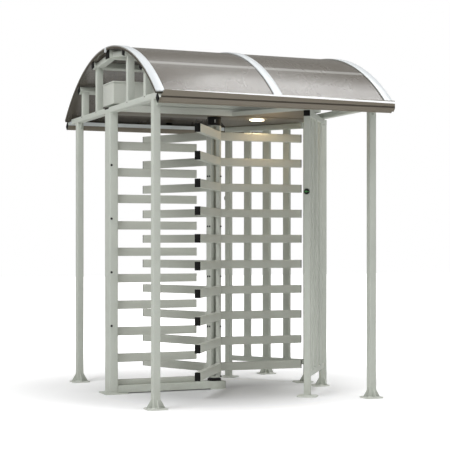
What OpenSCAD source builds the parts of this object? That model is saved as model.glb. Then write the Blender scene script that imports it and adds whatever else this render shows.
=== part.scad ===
// Full-height turnstile: a three-winged barred rotor, a fixed comb and a guide
// fence under a head box, with a barrel-vault canopy on four posts.
// Origin on the ground under the rotor's axis. X along the vault, the comb at -X.
// Y to the back. Z up. Millimetres.

/* [Canopy] */
// Half distance between the canopy posts along the vault
canopy_half_x = 795; // [790:1:900]
// Half distance between the canopy posts across the vault
canopy_half_y = 877; // [820:1:930]
// Distance of the canopy's centre in front of the rotor's axis
canopy_shift = 65; // [40:1:90]
// Width of the square canopy posts
post_w = 50; // [40:1:60]
// Height of the underside of the gable beams
clear_height = 2005; // [1990:1:2200]
// Height of a gable beam
beam_h = 40; // [30:1:50]
// Width of a gable beam along the vault
beam_w = 50; // [40:1:56]
// Width of a gable stud across the vault
stud_w = 40; // [30:1:50]
// Radius of the vault at the top face of the purlins
vault_radius = 1534; // [1500:1:1600]
// Distance from the underside of the gable beams down to the middle of the eave purlins
eave_seat = 10.8; // [5:0.1:16]
// Gap between the purlins and the roof sheets
sheet_gap = 0.2; // [0.1:0.1:0.8]
// Gap between a gable stud and the short tube beside it
stud_gap = 0.3; // [0.1:0.1:0.8]
// Width of a purlin along the curve
purlin_w = 50; // [40:1:60]
// Thickness of a purlin
purlin_t = 40; // [30:1:45]
// Width of the ridge purlin
ridge_w = 80; // [60:1:100]
// Thickness of the ridge purlin
ridge_t = 58; // [40:1:64]
// Angle of the inner purlins from the crown
inner_angle = 13.7; // [12:0.1:15]
// Angle of the middle purlins from the crown
middle_angle = 28.5; // [26:0.1:31]
// Angle of the eave purlins from the crown
eave_angle = 44.1; // [43:0.1:45]
// Length that the purlins run past the gable beams
purlin_overhang = 22; // [10:1:40]
// Thickness of the tube end caps
cap_t = 6; // [3:1:10]

/* [Roof] */
// Angle from the middle of the eave purlins up to the foot of the roof sheets
foot_angle = 0.85; // [0.4:0.05:0.9]
// Thickness of the roof sheets
sheet_t = 14; // [8:1:20]
// Width of the white arch strips
strip_w = 62; // [50:1:75]
// Thickness of the arch strips above the sheets
strip_t = 8; // [5:1:12]
// Width of an arch strip's lip beside the sheet
lip_w = 6; // [4:1:10]
// Length of the roof past the middle of each gable beam
roof_overhang = 66; // [60:1:80]
// Height of the eave profiles
eave_h = 76; // [60:1:90]
// Thickness of the eave profiles
eave_t = 7; // [5:1:10]
// Depth of the groove along the eave profiles
groove_depth = 4; // [2:0.5:4]
// Height of that groove
groove_h = 11; // [8:1:18]
// Distance from the foot of an eave profile up to its groove
groove_rise = 25; // [15:1:30]
// Bevel along the top of the eave profiles
eave_bevel = 12; // [6:1:14]
// Height of the eave profiles' top above the foot of the arch strips
eave_rise = 6; // [4:0.5:8]
// Thickness of the eave profiles' top
eave_top_t = 6; // [4:1:8]
// Leg of the fillet under the eave profiles' top
eave_fillet = 5; // [3:1:8]
// Gap between an eave profile and the purlin and strips inside it
eave_gap = 1; // [0.5:0.5:2]
// Distance that the eave profiles stop short of the roof's left end
eave_setback_left = 26; // [4:1:30]
// Distance that the eave profiles stop short of the roof's right end
eave_setback_right = 4; // [2:1:30]

/* [Head] */
// Depth of the head box
head_depth = 250; // [240:1:300]
// Gap between the head box and the gable beams
head_gap = 1; // [0.5:0.5:4]
// Height of the control cabinet above the gable beams
cabinet_h = 160; // [120:1:180]
// Thickness of the cabinet's lid
lid_t = 10; // [6:1:16]
// Overhang of the cabinet's lid
lid_lip = 5; // [3:1:10]
// Shadow gap between the gable beams and the cabinet
shadow_gap = 16; // [8:1:20]
// Thickness of the passage ceiling
ceiling_t = 30; // [10:1:36]
// Diameter of the ceiling lamp
lamp_d = 112; // [80:1:140]
// Depth of the ceiling lamp below the head box
lamp_drop = 12; // [4:1:16]
// Distance of the ceiling lamp from the rotor's axis along the vault
lamp_x = 345; // [250:5:600]
// Height of the seat under the cabinet
seat_gap = 5; // [3:0.5:8]
// Step in from the head box to the seat under the cabinet
seat_inset = 8; // [4:1:12]
// Distance that the passage ceiling runs past the fence posts
ceiling_edge = 12; // [4:1:20]
// Distance that the passage ceiling runs past a side fence post across the vault
ceiling_side = 30; // [20:1:50]
// Width of the passage ceiling's tip at a fence corner post
ceiling_tip = 34; // [20:1:60]
// Distance from the rotor's axis to the start of the passage ceiling
ceiling_start = 90; // [60:1:120]

/* [Rotor] */
// Length of a wing from the axis to its bar ends
wing_length = 700; // [560:1:716]
// Sideways offset of a wing's bars from the axis
wing_offset = 34; // [30:1:38]
// Angle of the first wing at rest
rest_angle = -4.5; // [-8:0.1:0]
// Number of bars on a wing
bar_count = 10; // [9:1:10]
// Distance from the head box down to the highest rotor bar
bar_top_gap = 107; // [100:1:130]
// Height of a bar's section
bar_h = 60; // [50:1:64]
// Thickness of a bar's section
bar_t = 40; // [36:1:44]
// Height of the underside of the lowest rotor bar
bar_start_z = 128; // [126:1:134]
// Width of a hub post along its wing
hub_post_w = 50; // [44:1:56]
// Thickness of a hub post
hub_post_t = 30; // [24:1:34]
// Distance of a hub post's middle from the axis along its wing
hub_post_shift = 11; // [8:1:14]
// Diameter of the bearing housings
bearing_d = 104; // [90:1:120]
// Height of the top bearing housing
bearing_top_h = 56; // [40:1:62]
// Height of the bottom bearing
bearing_bottom_h = 18; // [10:1:24]
// Diameter of the rotor's shaft ends
shaft_d = 30; // [24:1:36]
// Radial clearance of a shaft end in its bore
shaft_clearance = 0.5; // [0.3:0.1:1]
// Depth of a shaft end in its bore
shaft_depth = 14; // [8:1:16]
// Gap between a shaft end and the bottom of its bore
shaft_end_gap = 1; // [0.5:0.5:2]
// Running gap between the rotor and its bearings
running_gap = 6; // [5:0.5:10]
// Width of the hub's six-sided end plates across their corners
hub_plate_d = 96; // [90:1:98]
// Distance from the outer face of an end plate to the end of a hub post
hub_post_setback = 2; // [1:0.5:4]
// Turn of the end plates from the wings
hub_plate_turn = 15; // [10:1:20]
// Thickness of the hub's end plates
hub_plate_t = 8; // [5:1:10]

/* [Comb] */
// Width of the comb post along the vault
comb_post_w = 60; // [50:1:70]
// Depth of the comb post across the vault
comb_post_d = 124; // [100:1:140]
// Distance from the rotor's axis to the free ends of the comb bars
comb_gap = 147; // [120:1:200]
// Height of the sill bar above the base beam
sill_h = 38; // [20:1:45]
// Height of the base beam's underside
base_beam_z = 8; // [6:1:12]
// Height of the base beam
base_beam_h = 52; // [40:1:54]
// Width of the base beam
base_beam_w = 120; // [90:1:130]
// Distance that the base beam runs past the rotor's axis
base_beam_end = 66; // [60:1:90]
// Width of the comb post's base plate along the vault
comb_plate_w = 170; // [150:1:180]

/* [Fence] */
// Distance of the front and back fence posts from the axis along the vault
fence_post_x = 415; // [400:1:440]
// Distance of the front and back fence posts from the axis across the vault
fence_post_y = 709; // [700:1:730]
// Distance of the side fence posts from the axis along the vault
fence_side_x = 830; // [810:1:860]
// Distance of the side fence posts from the axis across the vault
fence_side_y = 134; // [110:1:160]
// Distance of the side fence posts' base plates from the axis along the vault
fence_plate_x = 795; // [790:1:800]
// Width of the square fence posts
fence_post_w = 45; // [40:1:50]
// Length of a fence bar's section along the panel
fence_bar_l = 56; // [40:1:60]
// Thickness of a fence bar
fence_bar_t = 30; // [20:1:36]
// Number of bars in a long fence panel
fence_bars = 3; // [2:1:4]
// Height of the fence's top rail
top_rail_h = 40; // [30:1:50]
// Height of the fence's bottom rail
bottom_rail_h = 40; // [30:1:50]
// Height of the bottom rail's underside
bottom_rail_z = 135; // [80:1:160]
// Distance from the head box down to the middle of the direction indicators
indicator_drop = 569; // [500:1:700]
// Diameter of the direction indicators
indicator_d = 44; // [36:1:45]
// Thickness of the direction indicators
indicator_t = 8; // [5:1:12]

/* [Feet] */
// Thickness of the base plates
plate_t = 8; // [6:1:12]
// Cut at the corners of the base plates
plate_cut = 22; // [10:1:24]
// Distance between the anchor holes
anchor_pitch = 104; // [90:1:110]
// Distance from the anchor holes to the edges of the base plates
anchor_edge = 18; // [17:0.5:24]
// Distance between the comb post's anchor holes across the vault
comb_anchor_pitch = 145; // [140:1:150]
// Distance from the comb post's anchor holes to the plate's edges across the vault
comb_anchor_edge = 15; // [13:0.5:18]
// Diameter of the anchor holes
anchor_d = 12; // [10:0.5:14]
// Height of the gussets
gusset_h = 60; // [40:1:80]
// Thickness of the gussets
gusset_t = 6; // [4:1:8]
// Width of a gusset at its tip
gusset_tip = 4; // [2:1:6]
// Distance from a gusset's tip to the edge of its plate
gusset_setback = 6; // [3:1:10]
// Height of the gussets at the tops of the canopy posts
head_gusset_h = 45; // [30:1:60]
// Reach of the gussets at the tops of the canopy posts
head_gusset_w = 38; // [20:1:50]
// Depth to which the pieces of one sub-part run into each other
join = 0.5; // [0.2:0.1:0.8]

/* [Hidden] */

paint = "#b6bcb4";
dark_paint = "#8b8a7d";
black = "#18191b";
white = "#e9eef0";
bronze = "#6d6459";

beam_top = clear_height + beam_h;
purlin_radius = tube_radius(purlin_w, purlin_t);
ridge_radius = tube_radius(ridge_w, ridge_t);
vault_centre_z = clear_height - eave_seat - purlin_radius * cos(eave_angle);
beam_end_y = sqrt(pow(vault_radius - sheet_gap, 2) - pow(beam_top - vault_centre_z, 2));
bar_pitch = (clear_height - bar_top_gap - bar_h - bar_start_z) / (bar_count - 1);
sheet_inner = vault_radius;
sheet_angle = eave_angle - foot_angle;
sheet_outer = vault_radius + sheet_t;
strip_outer = sheet_outer + strip_t;
roof_half = canopy_half_x + roof_overhang;
purlin_half = canopy_half_x + beam_w / 2 + purlin_overhang;
cabinet_z = beam_top + shadow_gap;
plate_w = anchor_pitch + 2 * anchor_edge;
comb_plate_d = comb_anchor_pitch + 2 * comb_anchor_edge;
head_h = cabinet_z - seat_gap - clear_height;
bar_end_radius = norm([wing_length, wing_offset + bar_t / 2]);
base_beam_top = base_beam_z + base_beam_h;
bearing_z = base_beam_top;
hub_bottom = base_beam_top + bearing_bottom_h + running_gap;
hub_top = clear_height - bearing_top_h - running_gap;
shaft_length = running_gap + shaft_depth - shaft_end_gap + join;
comb_bar_z = bar_start_z + bar_h + (bar_pitch - 2 * bar_h) / 2;
fence_top = clear_height;
fence_corner = [fence_post_x, fence_post_y];
fence_side = [fence_side_x, fence_side_y];
fence_run = fence_side - fence_corner;
fence_angle = atan2(fence_run[1], fence_run[0]);
fence_length = norm(fence_run);
fence_bar_z = bottom_rail_z + bottom_rail_h - join;
fence_bar_length = fence_top - top_rail_h - fence_bar_z + join;
fine = 180;

// Moves a piece of the canopy from the canopy's centre to its place over the rotor
module at_canopy() { translate([0, -canopy_shift, 0]) children(); }

// Distance from the vault's centre line to the middle of a tube under the sheets
function tube_radius(width, thickness) = sqrt(pow(vault_radius - sheet_gap, 2) - pow(width / 2, 2))
    - thickness / 2;

function arc_point(radius, angle) = [radius * sin(angle), vault_centre_z + radius * cos(angle)];

// Flat plate with cut corners, centred, on the ground
module cut_square(size, cut) {
    half = size / 2;
    inner = half - cut;
    polygon([[half, inner], [inner, half], [-inner, half], [-half, inner],
        [-half, -inner], [-inner, -half], [inner, -half], [half, -inner]]);
}

module anchor_holes(pitch_x, pitch_y) {
    for (x = [-1, 1], y = [-1, 1]) {
        translate([x * pitch_x / 2, y * pitch_y / 2, -1])
            cylinder(d = anchor_d, h = plate_t + 2, $fn = 32);
    }
}

module base_plate() {
    difference() {
        linear_extrude(plate_t) cut_square(plate_w, plate_cut);
        anchor_holes(anchor_pitch, anchor_pitch);
    }
}

// Upright triangle that runs out along +X from the face of a tube
module gusset(reach, height, thickness) {
    translate([0, thickness / 2, 0]) rotate([90, 0, 0]) linear_extrude(thickness)
        polygon([[-join, 0], [reach, 0], [reach, gusset_tip], [gusset_tip, height], [-join, height]]);
}

module gusset_foot(tube, turns) {
    for (turn = turns) {
        rotate(turn) translate([tube / 2, 0, plate_t])
            gusset(plate_w / 2 - tube / 2 - gusset_setback, gusset_h, gusset_t);
    }
}

module canopy_post(side_x, side_y) {
    color(paint) translate([side_x * canopy_half_x, side_y * canopy_half_y - canopy_shift, 0]) {
        base_plate();
        translate([-post_w / 2, -post_w / 2, plate_t - join])
            cube([post_w, post_w, clear_height - plate_t + join]);
        gusset_foot(post_w, [0, 90, 180, 270]);
        for (turn = [90, 270]) {
            rotate(turn) translate([post_w / 2, 0, clear_height]) mirror([0, 0, 1])
                gusset(head_gusset_w, head_gusset_h, gusset_t);
        }
    }
}

module canopy_post_front_left() { canopy_post(-1, -1); }
module canopy_post_back_left() { canopy_post(-1, 1); }
module canopy_post_front_right() { canopy_post(1, -1); }
module canopy_post_back_right() { canopy_post(1, 1); }

// A tube along X, turned to lie tangent to the vault at an angle from the crown
module vault_tube(angle, width, thickness, half_length) {
    middle = arc_point(tube_radius(width, thickness), angle);
    translate([-half_length, middle[0], middle[1]]) rotate([-angle, 0, 0])
        translate([0, -width / 2, -thickness / 2]) cube([2 * half_length, width, thickness]);
}

module vault_tube_cap(angle, width, thickness, half_length) {
    middle = arc_point(tube_radius(width, thickness), angle);
    for (side = [-1, 1]) {
        translate([side * (half_length + cap_t / 2), middle[0], middle[1]]) rotate([-angle, 0, 0])
            cube([cap_t, width, thickness], center = true);
    }
}

module purlin(angle) {
    color(paint) at_canopy() vault_tube(angle, purlin_w, purlin_t, purlin_half);
}

module ridge_purlin() { color(paint) at_canopy() vault_tube(0, ridge_w, ridge_t, purlin_half); }
module inner_purlin_front() { purlin(-inner_angle); }
module inner_purlin_back() { purlin(inner_angle); }
module middle_purlin_front() { purlin(-middle_angle); }
module middle_purlin_back() { purlin(middle_angle); }
module eave_purlin_front() { purlin(-eave_angle); }
module eave_purlin_back() { purlin(eave_angle); }

// Beam across the canopy, cut at its ends to the vault and to the eave purlins
module gable_beam(side) {
    reach = arc_point(purlin_radius, eave_angle)[0];
    color(paint) at_canopy() translate([side * canopy_half_x - beam_w / 2, 0, 0])
        rotate([90, 0, 90]) linear_extrude(beam_w) difference() {
            polygon([[-reach, clear_height], [reach, clear_height], [beam_end_y, beam_top],
                [-beam_end_y, beam_top]]);
            for (end = [-1, 1]) tube_section(end * eave_angle, purlin_w, purlin_t);
        }
}

module gable_beam_left() { gable_beam(-1); }
module gable_beam_right() { gable_beam(1); }

// Section of a tube of the vault, for cutting the studs to it
module tube_section(angle, width, thickness) {
    translate(arc_point(tube_radius(width, thickness), angle)) rotate(-angle)
        square([width, thickness], center = true);
}

// Stud from the gable beam up to the purlin above it
module stud(angle, width = stud_w) {
    middle = arc_point(purlin_radius, angle);
    translate([middle[0] - width / 2, beam_top]) square([width, middle[1] - beam_top]);
}

// Short tube from the ridge purlin to an inner purlin
module chord(end) {
    low = arc_point(purlin_radius, inner_angle);
    high = arc_point(ridge_radius, 0);
    run = low - high;
    difference() {
        translate([0, high[1]]) mirror([end > 0 ? 0 : 1, 0]) rotate(atan2(run[1], run[0]))
            translate([0, -stud_w / 2]) square([norm(run), stud_w]);
        tube_section(0, ridge_w, ridge_t);
        tube_section(end * inner_angle, purlin_w, purlin_t);
        stud(end * inner_angle, stud_w + 2 * stud_gap);
    }
}

module gable_studs(side) {
    color(paint) at_canopy() translate([side * canopy_half_x - beam_w / 2, 0, 0])
        rotate([90, 0, 90]) linear_extrude(beam_w) {
            for (angle = [-middle_angle, -inner_angle, inner_angle, middle_angle]) {
                difference() {
                    stud(angle);
                    tube_section(angle, purlin_w, purlin_t);
                }
            }
            for (end = [-1, 1]) {
                chord(end);
            }
        }
}

module gable_studs_left() { gable_studs(-1); }
module gable_studs_right() { gable_studs(1); }

module tube_end_caps() {
    color(black) {
        at_canopy() vault_tube_cap(0, ridge_w, ridge_t, purlin_half);
        for (side = [-1, 1], angle = [inner_angle, middle_angle, eave_angle]) {
            at_canopy() vault_tube_cap(side * angle, purlin_w, purlin_t, purlin_half);
        }
        for (side = [-1, 1]) fence_frame(side)
            translate([-fence_post_w / 2 - cap_t, -fence_post_w / 2, fence_top - top_rail_h])
                cube([cap_t, fence_post_w, top_rail_h]);
    }
}

// Ring sector of the vault, extruded along X
module vault_shell(inner, outer, angle, x_start, length) {
    reach = 2 * outer;
    translate([x_start, 0, vault_centre_z]) rotate([90, 0, 90]) linear_extrude(length)
        intersection() {
            difference() {
                circle(r = outer, $fn = fine);
                circle(r = inner, $fn = fine);
            }
            polygon([[0, 0], [reach * sin(angle), reach * cos(angle)], [0, reach * 1.5],
                [-reach * sin(angle), reach * cos(angle)]]);
        }
}

module roof_sheet(side) {
    inner_end = lip_w / 2;
    outer_end = roof_half - lip_w;
    color(bronze) at_canopy() vault_shell(sheet_inner, sheet_outer, sheet_angle,
        side > 0 ? inner_end : -outer_end, outer_end - inner_end);
}

module roof_sheet_left() { roof_sheet(-1); }
module roof_sheet_right() { roof_sheet(1); }

module arch_strip_end(side) {
    color(white) at_canopy() {
        vault_shell(sheet_outer, strip_outer, sheet_angle,
            side > 0 ? roof_half - strip_w : -roof_half, strip_w);
        vault_shell(sheet_inner, sheet_outer + join, sheet_angle,
            side > 0 ? roof_half - lip_w : -roof_half, lip_w);
    }
}

module arch_strip_left() { arch_strip_end(-1); }
module arch_strip_right() { arch_strip_end(1); }

module arch_strip_middle() {
    color(white) at_canopy() {
        vault_shell(sheet_outer, strip_outer, sheet_angle, -strip_w / 2, strip_w);
        vault_shell(sheet_inner, sheet_outer + join, sheet_angle, -lip_w / 2, lip_w);
    }
}

// Angle profile that closes the foot of the roof, with a groove along its face
module eave_profile(side) {
    foot = arc_point(strip_outer, sheet_angle);
    corner = arc_point(vault_radius, eave_angle)[0] + purlin_w / 2 * cos(eave_angle);
    face = corner + eave_t + eave_gap;
    top = foot[1] + eave_rise;
    bed = top - eave_top_t;
    back = face - eave_t;
    bottom = top - eave_h;
    groove_z = bottom + groove_rise;
    color(dark_paint) at_canopy() mirror([0, side > 0 ? 0 : 1, 0])
        translate([eave_setback_left - roof_half, 0, 0]) rotate([90, 0, 90])
        linear_extrude(2 * roof_half - eave_setback_left - eave_setback_right)
        polygon([[back, bottom], [face, bottom], [face, groove_z], [face - groove_depth, groove_z],
            [face - groove_depth, groove_z + groove_h], [face, groove_z + groove_h], [face, top - eave_bevel],
            [face - eave_bevel, top], [foot[0] + eave_gap, top], [foot[0] + eave_gap, bed],
            [back - eave_fillet, bed], [back, bed - eave_fillet]]);
}

module eave_profile_front() { eave_profile(-1); }
module eave_profile_back() { eave_profile(1); }

module head_box() {
    inner = canopy_half_x - beam_w / 2 - head_gap;
    color(paint) {
        translate([-inner, -head_depth / 2, clear_height])
            cube([2 * inner, head_depth, head_h]);
        translate([-inner, seat_inset - head_depth / 2, clear_height + head_h - join])
            cube([2 * inner, head_depth - 2 * seat_inset, seat_gap + join]);
    }
}

module control_cabinet() {
    reach = canopy_half_x + beam_w / 2;
    lid_reach = reach + lid_lip;
    color(paint) {
        translate([-reach, -head_depth / 2, cabinet_z])
            cube([2 * reach, head_depth, cabinet_h - lid_t]);
        translate([-lid_reach, -head_depth / 2 - lid_lip, cabinet_z + cabinet_h - lid_t - join])
            cube([2 * lid_reach, head_depth + 2 * lid_lip, lid_t + join]);
    }
}

// Plate over the passage, from the head box out to the top rails of the fence
module passage_ceiling() {
    head_front = head_depth / 2 + head_gap;
    edge = canopy_half_x - beam_w / 2 - head_gap;
    tip_x = fence_post_x + ceiling_edge;
    for (side = [-1, 1]) {
        color(dark_paint) translate([0, 0, clear_height]) mirror([0, side > 0 ? 0 : 1, 0])
            linear_extrude(ceiling_t)
            polygon([[ceiling_start, head_front], [edge, head_front], [edge, fence_side_y + ceiling_side],
                [tip_x, fence_post_y + ceiling_edge], [tip_x - ceiling_tip, fence_post_y + ceiling_edge]]);
    }
}

module ceiling_lamp() {
    color("#f3e2ae") translate([lamp_x, 0, clear_height - lamp_drop])
        cylinder(d = lamp_d, h = lamp_drop, $fn = 64);
}

module top_bearing() {
    color(black) translate([0, 0, clear_height - bearing_top_h]) difference() {
        cylinder(d = bearing_d, h = bearing_top_h, $fn = 64);
        translate([0, 0, -1]) cylinder(d = shaft_d + 2 * shaft_clearance, h = shaft_depth + 2, $fn = 48);
    }
}

module bottom_bearing() {
    color(black) translate([0, 0, bearing_z]) difference() {
        cylinder(d = bearing_d, h = bearing_bottom_h, $fn = 64);
        translate([0, 0, bearing_bottom_h - shaft_depth])
            cylinder(d = shaft_d + 2 * shaft_clearance, h = shaft_depth + 1, $fn = 48);
    }
}

module comb_post() {
    color(paint) translate([-canopy_half_x, 0, 0]) {
        difference() {
            translate([-plate_w / 2, -comb_plate_d / 2, 0]) cube([comb_plate_w, comb_plate_d, plate_t]);
            anchor_holes(anchor_pitch, comb_anchor_pitch);
        }
        translate([-comb_post_w / 2, -comb_post_d / 2, plate_t - join])
            cube([comb_post_w, comb_post_d, clear_height - plate_t + join]);
    }
}

module comb_bars() {
    start = -canopy_half_x + comb_post_w / 2;
    length = -comb_gap - start;
    color(paint) translate([start, -bar_t / 2, 0]) {
        for (i = [0:bar_count - 2]) {
            translate([0, 0, comb_bar_z + i * bar_pitch]) cube([length, bar_t, bar_h]);
        }
        translate([0, 0, base_beam_top]) cube([length, bar_t, sill_h]);
    }
}

module base_beam() {
    start = -canopy_half_x + comb_post_w / 2;
    color(paint) {
        translate([start, -base_beam_w / 2, base_beam_z])
            cube([base_beam_end - start, base_beam_w, base_beam_h]);
        translate([-bearing_d / 2, -base_beam_w / 2, 0])
            cube([bearing_d, base_beam_w, base_beam_z + join]);
    }
}

// Frame of a fence run: the corner post is the origin and X runs to the side post
module fence_frame(side) {
    mirror([0, side > 0 ? 0 : 1, 0])
        translate([fence_corner[0], fence_corner[1], 0]) rotate(fence_angle) children();
}

module corner_fence_post(side) {
    color(paint) fence_frame(side) {
        base_plate();
        translate([-fence_post_w / 2, -fence_post_w / 2, plate_t - join])
            cube([fence_post_w, fence_post_w, fence_top - top_rail_h - plate_t + join]);
    }
}

module fence_post_front() { corner_fence_post(-1); }
module fence_post_back() { corner_fence_post(1); }

module side_fence_post(side) {
    color(paint) translate([fence_side_x, side * fence_side_y, 0]) {
        translate([fence_plate_x - fence_side_x, 0, 0]) base_plate();
        translate([-fence_post_w / 2, -fence_post_w / 2, plate_t - join])
            cube([fence_post_w, fence_post_w, fence_top - top_rail_h - plate_t + join]);
        gusset_foot(fence_post_w, [90, 180, 270]);
    }
}

module fence_post_side_front() { side_fence_post(-1); }
module fence_post_side_back() { side_fence_post(1); }

module long_fence_panel(side) {
    bar_step = fence_length / (fence_bars + 1);
    post_half = fence_post_w / 2;
    color(paint) fence_frame(side) {
        difference() {
            union() {
                translate([-post_half, -post_half, fence_top - top_rail_h])
                    cube([fence_length + post_half, fence_post_w, top_rail_h]);
                translate([post_half, -fence_bar_t / 2, bottom_rail_z])
                    cube([fence_length - post_half, fence_bar_t, bottom_rail_h]);
            }
            translate([fence_length, 0, 0]) rotate(-fence_angle)
                translate([-post_half, -post_half, 0]) cube([2 * fence_post_w, fence_post_w, fence_top + 1]);
        }
        for (i = [1:fence_bars]) {
            translate([i * bar_step - fence_bar_l / 2, -fence_bar_t / 2, fence_bar_z])
                cube([fence_bar_l, fence_bar_t, fence_bar_length]);
        }
    }
}

module fence_panel_front() { long_fence_panel(-1); }
module fence_panel_back() { long_fence_panel(1); }

module fence_panel_side() {
    half = fence_side_y;
    post_half = fence_post_w / 2;
    color(paint) translate([fence_side_x, 0, 0]) {
        translate([-post_half, -half - post_half, fence_top - top_rail_h])
            cube([fence_post_w, 2 * half + fence_post_w, top_rail_h]);
        translate([-fence_bar_t / 2, -half + post_half, bottom_rail_z])
            cube([fence_bar_t, 2 * half - fence_post_w, bottom_rail_h]);
        translate([-fence_bar_t / 2, -fence_bar_l / 2, fence_bar_z])
            cube([fence_bar_t, fence_bar_l, fence_bar_length]);
    }
}

module indicator(side) {
    color(black) fence_frame(side) translate([-fence_post_w / 2, 0, clear_height - indicator_drop])
        rotate([0, -90, 0]) cylinder(d = indicator_d, h = indicator_t, $fn = 48);
}

module indicator_front() { indicator(-1); }
module indicator_back() { indicator(1); }

module wing_frame(index) {
    rotate(rest_angle + 120 * index) children();
}

// Three upright posts around the axis, an end plate at each end and the shaft ends
module rotor_hub() {
    post_y = wing_offset - hub_post_t / 2;
    color(paint) {
        for (index = [0:2]) {
            wing_frame(index)
                translate([hub_post_shift - hub_post_w / 2, post_y, hub_bottom + hub_post_setback])
                cube([hub_post_w, hub_post_t, hub_top - hub_bottom - 2 * hub_post_setback]);
        }
        for (plate_z = [hub_bottom, hub_top - hub_plate_t]) {
            translate([0, 0, plate_z]) rotate(rest_angle + hub_plate_turn)
                cylinder(d = hub_plate_d, h = hub_plate_t, $fn = 6);
        }
        for (shaft_z = [hub_bottom + join - shaft_length, hub_top - join]) {
            translate([0, 0, shaft_z]) cylinder(d = shaft_d, h = shaft_length, $fn = 48);
        }
    }
}

module wing(index) {
    color(paint) wing_frame(index) {
        for (i = [0:bar_count - 1]) {
            translate([hub_post_shift + hub_post_w / 2, wing_offset - bar_t / 2, bar_start_z + i * bar_pitch])
                cube([wing_length - hub_post_shift - hub_post_w / 2 - cap_t, bar_t, bar_h]);
        }
    }
}

module rotor_wing_right() { wing(0); }
module rotor_wing_back() { wing(1); }
module rotor_wing_front() { wing(2); }

module wing_end_caps() {
    color(black) for (index = [0:2]) {
        wing_frame(index) for (i = [0:bar_count - 1]) {
            translate([wing_length - cap_t, wing_offset - bar_t / 2, bar_start_z + i * bar_pitch])
                cube([cap_t, bar_t, bar_h]);
        }
    }
}

canopy_post_front_left();
canopy_post_back_left();
canopy_post_front_right();
canopy_post_back_right();
gable_beam_left();
gable_beam_right();
gable_studs_left();
gable_studs_right();
ridge_purlin();
inner_purlin_front();
inner_purlin_back();
middle_purlin_front();
middle_purlin_back();
eave_purlin_front();
eave_purlin_back();
tube_end_caps();
roof_sheet_left();
roof_sheet_right();
arch_strip_left();
arch_strip_middle();
arch_strip_right();
eave_profile_front();
eave_profile_back();
head_box();
control_cabinet();
passage_ceiling();
ceiling_lamp();
top_bearing();
comb_post();
comb_bars();
base_beam();
bottom_bearing();
fence_post_front();
fence_post_back();
fence_post_side_front();
fence_post_side_back();
fence_panel_front();
fence_panel_side();
fence_panel_back();
indicator_front();
indicator_back();
rotor_hub();
rotor_wing_right();
rotor_wing_back();
rotor_wing_front();
wing_end_caps();
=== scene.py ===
from math import atan2, cos, hypot, pi, radians, sin

import bmesh
import bpy
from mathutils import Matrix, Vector


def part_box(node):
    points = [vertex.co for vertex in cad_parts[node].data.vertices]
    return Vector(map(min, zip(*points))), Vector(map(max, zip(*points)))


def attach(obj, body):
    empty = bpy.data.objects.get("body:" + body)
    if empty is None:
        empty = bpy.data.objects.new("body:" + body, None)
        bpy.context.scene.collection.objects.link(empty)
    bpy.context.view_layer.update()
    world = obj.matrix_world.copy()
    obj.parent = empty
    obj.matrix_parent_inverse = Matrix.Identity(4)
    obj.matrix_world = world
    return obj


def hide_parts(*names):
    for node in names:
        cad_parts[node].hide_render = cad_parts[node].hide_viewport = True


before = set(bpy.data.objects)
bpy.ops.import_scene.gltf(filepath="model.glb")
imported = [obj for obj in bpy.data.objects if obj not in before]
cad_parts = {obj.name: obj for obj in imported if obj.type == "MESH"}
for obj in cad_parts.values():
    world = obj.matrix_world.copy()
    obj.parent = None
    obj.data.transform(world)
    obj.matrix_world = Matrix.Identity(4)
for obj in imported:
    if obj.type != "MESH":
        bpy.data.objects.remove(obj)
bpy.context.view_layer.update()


def deselectAll():
    bpy.ops.object.select_all(action="DESELECT")


def activate(piece):
    deselectAll()
    piece.select_set(True)
    bpy.context.view_layer.objects.active = piece


def openEdit(piece):
    activate(piece)
    bpy.ops.object.mode_set(mode="EDIT")


def closeEdit():
    bpy.ops.object.mode_set(mode="OBJECT")


def selectMesh(action="SELECT"):
    bpy.ops.mesh.select_all(action=action)


def pickFaces(test):  # test is given a face's middle and its normal
    bpy.ops.mesh.select_mode(type="FACE")
    selectMesh("DESELECT")
    data = bpy.context.object.data
    for face in bmesh.from_edit_mesh(data).faces:
        face.select_set(bool(test(face.calc_center_median(), face.normal)))
    bmesh.update_edit_mesh(data)


def pickEdges(test):  # test is given an edge's middle and its direction
    bpy.ops.mesh.select_mode(type="EDGE")
    selectMesh("DESELECT")
    data = bpy.context.object.data
    for edge in bmesh.from_edit_mesh(data).edges:
        first, second = (corner.co for corner in edge.verts)
        edge.select_set(bool(test((first + second) / 2, (second - first).normalized())))
    bmesh.update_edit_mesh(data)


def bevelPicked(offset, steps=1):
    bpy.ops.mesh.bevel(offset=offset, segments=steps, affect="EDGES")


def pushPicked(step):
    bpy.ops.mesh.extrude_region_move(TRANSFORM_OT_translate={"value": step})


def scoreAt(point, normal):  # new edges where a plane meets the mesh in hand
    selectMesh()
    bpy.ops.mesh.bisect(plane_co=point, plane_no=normal, use_fill=False)


def applyPlace(piece):
    activate(piece)
    bpy.ops.object.transform_apply(location=True, rotation=True, scale=True)


def place(piece, middle=(0, 0, 0), turn=(0, 0, 0)):  # turned about the origin, then moved
    piece.rotation_euler = turn
    piece.location = middle
    applyPlace(piece)
    return piece


def addModifier(piece, kind, **values):
    activate(piece)
    modifier = piece.modifiers.new(kind, kind)
    for key, value in values.items():
        setattr(modifier, key, value)
    bpy.ops.object.modifier_apply(modifier=modifier.name)


def repeat(piece, count, step):  # the same shape again and again, a fixed step apart
    addModifier(
        piece, "ARRAY", count=count, use_relative_offset=False,
        use_constant_offset=True, constant_offset_displace=step,
    )
    return piece


def softenEdges(piece, width, angle):
    addModifier(piece, "BEVEL", width=width, segments=1, limit_method="ANGLE", angle_limit=radians(angle))


def copyOf(piece):  # with a mesh of its own
    twin = piece.copy()
    twin.data = piece.data.copy()
    bpy.context.scene.collection.objects.link(twin)
    return twin


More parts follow.
